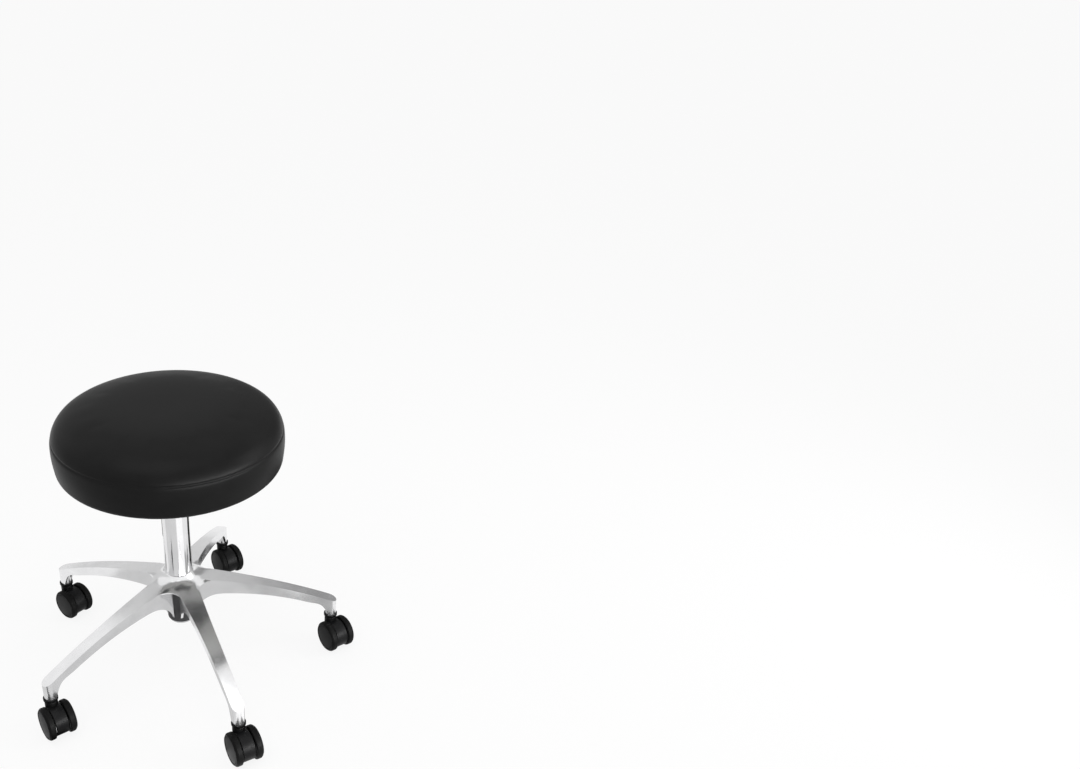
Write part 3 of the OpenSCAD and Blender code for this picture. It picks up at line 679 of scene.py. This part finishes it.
# Half a leg and its share of the hub, as one sheet that is later mirrored, repeated and thickened
def halfLeg():
    tangent, stem = star["tangent"], star["stemCircle"]
    sheet = drawProfile("starBase", star["collar"])
    bpy.ops.mesh.select_all(action="SELECT")
    bpy.ops.mesh.spin(steps=star["collarSteps"], angle=legStep / 2, center=(0, 0, 0),
                      axis=(0, 0, 1))
    bpy.ops.mesh.select_all(action="SELECT")
    place(lambda c: Vector((c.x, abs(c.y), c.z)))
    last = star["collar"][-1][0] * mm
    pick("EDGE", lambda c: abs(math.hypot(c.x, c.y) - last) < near)
    bpy.ops.mesh.extrude_edges_move()

    # across the leg's root, then round the scallop between two legs
    def webEdge(c):
        share = math.atan2(c.y, c.x) / (legStep / 2)
        if share < 0.51:
            return Vector((tangent * mm, share * 2 * legHalf(tangent) * mm,
                           onArc(topArc, tangent) * mm))
        along = share * 2 - 1
        turnBy = math.radians(-90 - star["scallopSweep"] * along)
        x = tangent + star["scallopRadius"] * math.cos(turnBy)
        y = star["scallopCentre"] + star["scallopRadius"] * math.sin(turnBy)
        droop = star["webDroop"] * along ** star["droopPower"]
        slope = star["webSlope"] * (math.hypot(x, y) - star["webEdge"])
        return Vector((x * mm, y * mm, (star["edgeTop"] - slope - droop) * mm))

    place(webEdge)
    # the leg's top, drawn out station by station
    at = tangent
    pick("EDGE", lambda c: abs(c.x - tangent * mm) < near
         and c.y < (legHalf(tangent) + 0.1) * mm)
    for x in star["stations"] + (stem,):
        bpy.ops.mesh.extrude_edges_move(TRANSFORM_OT_translate={
            "value": ((x - at) * mm, 0, (onArc(topArc, x) - onArc(topArc, at)) * mm)})
        bpy.ops.transform.resize(value=(1, legHalf(x) / legHalf(at), 1),
                                 center_override=(x * mm, 0, onArc(topArc, x) * mm))
        at = x
    bpy.ops.mesh.extrude_edges_move()

    def roundEnd(c):
        bearing = math.radians(star["endSweep"] * c.y / (legHalf(at) * mm))
        x = at + star["tipHalf"] * math.cos(bearing)
        return Vector((x * mm, star["tipHalf"] * math.sin(bearing) * mm, onArc(topArc, x) * mm))

    place(roundEnd)

    # the side wall, from the leg's top edge down to its lower edge
    def onSide(c):
        atTip = c.x > (stem + 1) * mm and abs(
            math.hypot(c.x - stem * mm, c.y) - star["tipHalf"] * mm) < 2 * near
        return c.x > (tangent - 0.1) * mm and (
            c.y > (legHalf(c.x / mm) - 0.05) * mm or atTip)

    pick("EDGE", onSide)
    sift(lambda e: len(e.link_faces) < 2)
    mesh = bmesh.from_edit_mesh(sheet.data)
    tops = {round(v.co.x / mm, 2): v.co.copy() for v in mesh.verts if v.select}
    for level in star["wallLevels"]:
        bpy.ops.mesh.extrude_edges_move()

        def sideDown(c):
            x = c.x / mm
            top = tops[min(tops, key=lambda k: abs(k - x))]
            foot = star["bossFoot"] if x > star["tipFrom"] else legUnder(x)
            z = top.z + (foot * mm - top.z) * level
            if x > stem + 0.5:
                out = Vector((top.x - stem * mm, top.y, 0))
                lean = 1 - (star["wallLean"] / star["tipHalf"]) * level
                return Vector((stem * mm + out.x * lean, out.y * lean, z))
            half = top.y / mm + (star["footHalf"] - top.y / mm) * level
            return Vector((top.x, half * mm, z))

        place(sideDown)
    # the wall runs on under the web to the hub's boss
    pick("EDGE", lambda c: abs(c.x - tangent * mm) < near
         and c.y > (star["footHalf"] - 0.1) * mm)
    sift(lambda e: len(e.link_faces) < 2
         and abs(e.verts[0].co.z - e.verts[1].co.z) >= near)
    was = tangent
    for x, depth in star["rootWall"]:
        bpy.ops.mesh.extrude_edges_move()

        def inward(c):
            top, foot = onArc(topArc, was), legUnder(was)
            share = (c.z / mm - foot) / (top - foot)
            if was == tangent and share > 0.95:
                share = 1
            z = legUnder(x) + (star["edgeTop"] - depth - legUnder(x)) * share
            start, length = star["rootNarrow"]
            wide = legHalf(star["webEdge"]) - star["rootIn"] - star["footHalf"]
            half = star["footHalf"] + wide * share * (x - start) / length
            return Vector((x * mm, half * mm, z * mm))

        place(inward)
        was = x
    leaveAll()
    return sheet


sheet = halfLeg()
print("half leg:", len(sheet.data.polygons))
modify(sheet, "MIRROR", use_axis=(False, True, False), use_mirror_merge=True, merge_threshold=near)
edit(sheet)
bpy.ops.mesh.select_all(action="SELECT")
bpy.ops.mesh.spin(steps=legCount - 1, dupli=True, angle=legStep * (legCount - 1), center=(0, 0, 0),
                  axis=(0, 0, 1))
bpy.ops.mesh.select_all(action="SELECT")
bpy.ops.mesh.remove_doubles(threshold=2 * near)
bpy.ops.mesh.normals_make_consistent(inside=False)
leaveAll()
crown = max(sheet.data.polygons, key=lambda p: abs(p.normal.z))
if crown.normal.z < 0:
    edit(sheet)
    bpy.ops.mesh.select_all(action="SELECT")
    bpy.ops.mesh.flip_normals()
    leaveAll()
sheet.data.materials.clear()
sheet.data.materials.append(polishedAluminium)
# the inside faces take the dull cast finish, painted dark as the shade under the legs
sheet.data.materials.append(asCastPaintedShade)
modify(sheet, "SOLIDIFY", thickness=star["skin"] * mm, offset=-1, use_even_offset=True,
       material_offset=1, material_offset_rim=0)
modify(sheet, "BEVEL", width=star["edgeRound"] * mm, segments=2, limit_method="ANGLE",
       angle_limit=math.radians(50))
modify(sheet, "SUBSURF", levels=1, render_levels=1)
smooth(sheet, 50)

# the hub's boss round the column, and a boss round each castor's stem
hub = {"bore": 25.06, "foot": 95, "footInner": 24.5, "footRound": 2, "boreTop": 190,
       "side": ((28.5, 168), (33.5, 176), (42, 178.5), (42, 181))}
tip = {"bore": 7.1, "radius": 10.2, "foot": 68.3, "top": 95}
hubBoss = turn("hubBoss", [(hub["bore"], hub["foot"]), (hub["footInner"], hub["foot"])]
               + corner((hub["footInner"], hub["foot"] + hub["footRound"]), hub["footRound"],
                        -90, 0, 4)
               + [*hub["side"], (hub["bore"], hub["boreTop"]), (hub["bore"], hub["foot"])])
# the boss takes the dull cast finish, painted dark as the shade under the hub
hubBoss.data.materials.append(asCastPaintedShade)
smooth(hubBoss, 40)
ring = turn("tipBoss", [(tip["bore"], tip["foot"]), (tip["radius"], tip["foot"]),
                        (tip["radius"], tip["top"]), (tip["bore"], tip["top"]),
                        (tip["bore"], tip["foot"])], steps=64)
ring.data.materials.append(polishedAluminium)
smooth(ring, 40)
toStem = Matrix.Translation((star["stemCircle"] * mm, 0, 0))
tipBosses = [copyTo(ring, f"tipBoss{i}", Matrix.Rotation(i * legStep, 4, "Z") @ toStem)
             for i in range(legCount)]
drop(ring)
starBase = joinAll([sheet, hubBoss] + tipBosses)
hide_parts("star_base")
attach(starBase, "base")
print("star base made:", len(starBase.data.polygons), "faces")

# column

column = {"radius": 25, "footRadius": 24, "foot": 90, "footEdge": 1.5, "taper": 189, "top": 335,
          "wall": 2, "lip": 0.8, "hole": 5.2, "floor": 94}
lipTop, straight = column["top"] - column["lip"], column["taper"] + 1
columnTube = turn("columnTube", [
    (column["hole"], column["foot"]), (column["footRadius"] - column["footEdge"], column["foot"]),
    (column["footRadius"], column["foot"] + column["footEdge"]),
    (column["radius"], column["taper"]), (column["radius"], straight)]
    + [(column["radius"], straight + (lipTop - straight) * i / 4) for i in (1, 2, 3)]
    + corner((column["radius"] - column["lip"], lipTop), column["lip"], 0, 90, 4)
    + [(column["radius"] - column["wall"], column["top"]),
       (column["radius"] - column["wall"], column["floor"]),
       (column["hole"], column["floor"]), (column["hole"], column["foot"])], steps=160)
columnTube.data.materials.append(chromePlate)
smooth(columnTube, 40)
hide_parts("column_tube")
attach(columnTube, "base")
print("column made")

# castors

castor = {"turns": (24.8, 27, 41, 27.7, 20.5), "trail": 20, "radius": 30, "inner": 12.5,
          "outer": 26.5, "treadInner": 27, "axleRadius": 4.06}
discSizes = {
    "inside": ((7, 12.5), (7.6, 13.1), (7.6, 21), (23.2, 21.3), (23.8, 20.7), (23.8, 13.3),
               (24.2, 12.9)),
    "groove": ((24.9, 25.7), (24.5, 25.4), (24.1, 24.5), (23.5, 24.5), (23.2, 25.2)),
    "radius": 26.95, "foot": 13, "shoulder": 24.8, "round": 0.9,
    "domeEdge": 23, "dome": 1.1, "domeSteps": 6, "back": 24}
treadSizes = {"innerEdge": 0.5, "outerEdge": 1.5, "innerRound": 2.2, "outerRound": 2.8,
              "outerDrop": 5.6, "shoulderRound": 3.7, "shoulderIn": 4.2, "shoulderDrop": 5.2}
hoodSizes = {"radius": 26.5, "half": 11.5, "webHalf": 3.5, "wall": 2.6, "boss": 7, "round": 1,
             "openBelow": 8, "edge": 0.7}
neckSizes = {"radius": 11.5, "top": 62, "foot": 35, "topRound": 1.2, "footRound": 4, "waist": 50,
             "stemRadius": 5.56, "headRadius": 7.8, "headTop": 40.3}


# One wheel disc, turned: dished inside, a rim, a groove and a low dome outside
def makeWheelDisc():
    size, bore, inner = discSizes, castor["axleRadius"], castor["inner"]
    wide, shoulder, count = size["radius"], size["shoulder"], size["domeSteps"]
    dome = [(size["domeEdge"] * (1 - i / count),
             castor["outer"] - size["dome"] * (1 - i / count) ** 2) for i in range(count + 1)]
    return turn("wheelDisc", [(bore, inner), *size["inside"], (wide, size["foot"]),
                              (wide, shoulder)]
                + corner((wide - size["round"], shoulder), size["round"], 0, 90, 4)
                + [*size["groove"]] + dome
                + [(0, size["back"]), (bore, size["back"]), (bore, inner)], steps=72)


# The soft tread round a wheel, with rounded shoulders
def makeTread():
    size, radius, hole = treadSizes, castor["radius"], castor["treadInner"]
    inner, outer = castor["inner"] + size["innerEdge"], castor["outer"]
    return turn("tread", [(hole, inner)]
                + corner((radius - size["innerRound"], inner + size["innerRound"]),
                         size["innerRound"], -90, 0, 5)
                + [(radius, (castor["inner"] + outer) / 2)]
                + corner((radius - size["outerRound"], outer - size["outerDrop"]),
                         size["outerRound"], 0, 40, 4)
                + corner((radius - size["shoulderIn"], outer - size["shoulderDrop"]),
                         size["shoulderRound"], 42, 78, 4)
                + [(hole, outer - size["outerEdge"]), (hole, inner)])


# The hood: a drum with a wall across its middle, cut off level below, and a neck for the stem
def makeHood():
    size, bore = hoodSizes, castor["axleRadius"]
    half, web, boss, edge = size["half"], size["webHalf"], size["boss"], size["round"]
    rimIn, rimOut = size["radius"] - size["wall"], size["radius"] - edge
    drum = turn("hood", [(bore, -half), (boss, -half), (boss, -web), (rimIn, -web), (rimIn, -half)]
                + corner((rimOut, edge - half), edge, -90, 0, 3)
                + corner((rimOut, half - edge), edge, 0, 90, 3)
                + [(rimIn, half), (rimIn, web), (boss, web), (boss, half), (bore, half),
                   (bore, -half)], steps=72)
    drum.data.transform(axleMatrix)
    edit(drum)
    bpy.ops.mesh.select_all(action="SELECT")
    bpy.ops.mesh.bisect(plane_co=(0, 0, size["openBelow"] * mm), plane_no=(0, 0, 1),
                        use_fill=True, clear_inner=True)
    leaveAll()
    neck = makeNeck(**neckSizes)
    choose(drum)
    bpy.ops.object.modifier_add(type="BOOLEAN")
    union = drum.modifiers[-1]
    union.operation, union.solver, union.object = "UNION", "EXACT", neck
    bpy.ops.object.modifier_apply(modifier=union.name)
    drop(neck)
    modify(drum, "BEVEL", width=size["edge"] * mm, segments=2, limit_method="ANGLE",
           angle_limit=math.radians(38))
    smooth(drum, 40)
    return drum


def makeNeck(radius, top, foot, topRound, footRound, waist, stemRadius, headRadius, headTop):
    return turn("neck", [(stemRadius, top)]
                + corner((radius - topRound, top - topRound), topRound, 90, 0, 4)
                + [(radius, waist)]
                + corner((radius - footRound, foot + footRound), footRound, 0, -80, 5)
                + [(headRadius, foot), (headRadius, headTop), (stemRadius, headTop),
                   (stemRadius, top)], steps=64)


# turns a shape made about Z so that it stands on the axle, which lies along X behind the stem
axleMatrix = (Matrix.Translation((0, -castor["trail"] * mm, castor["radius"] * mm))
              @ Matrix.Rotation(math.pi / 2, 4, "Y"))
otherSide = Matrix.Rotation(math.pi, 4, "X")
disc, tread, hood = makeWheelDisc(), makeTread(), makeHood()
for shape, finish in ((disc, mouldedNylon), (tread, polyurethaneTread), (hood, hoodNylon)):
    shape.data.materials.clear()
    shape.data.materials.append(finish)
    smooth(shape, 40)
for i in range(legCount):
    number = i + 1
    spot = (Matrix.Rotation(i * legStep, 4, "Z") @ toStem
            @ Matrix.Rotation(math.radians(castor["turns"][i]) - i * legStep, 4, "Z"))
    piece = copyTo(hood, f"castorHood{number}", spot)
    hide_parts(f"hood_{number}")
    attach(piece, f"castor_{number}")
    for side, turned in (("right", Matrix()), ("left", otherSide)):
        for shape, label, node, slot in ((disc, "wheelDisc", "wheel", "castor_nylon"),
                                         (tread, "tread", "tyre", "castor_tread")):
            piece = copyTo(shape, f"{label}_{side}_{number}", spot @ axleMatrix @ turned)
            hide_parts(f"{node}_{side}_{number}")
            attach(piece, f"{side}_wheel_{number}")
for shape in (disc, tread, hood):
    drop(shape)
print("castors made")

leaveAll()
low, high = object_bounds()
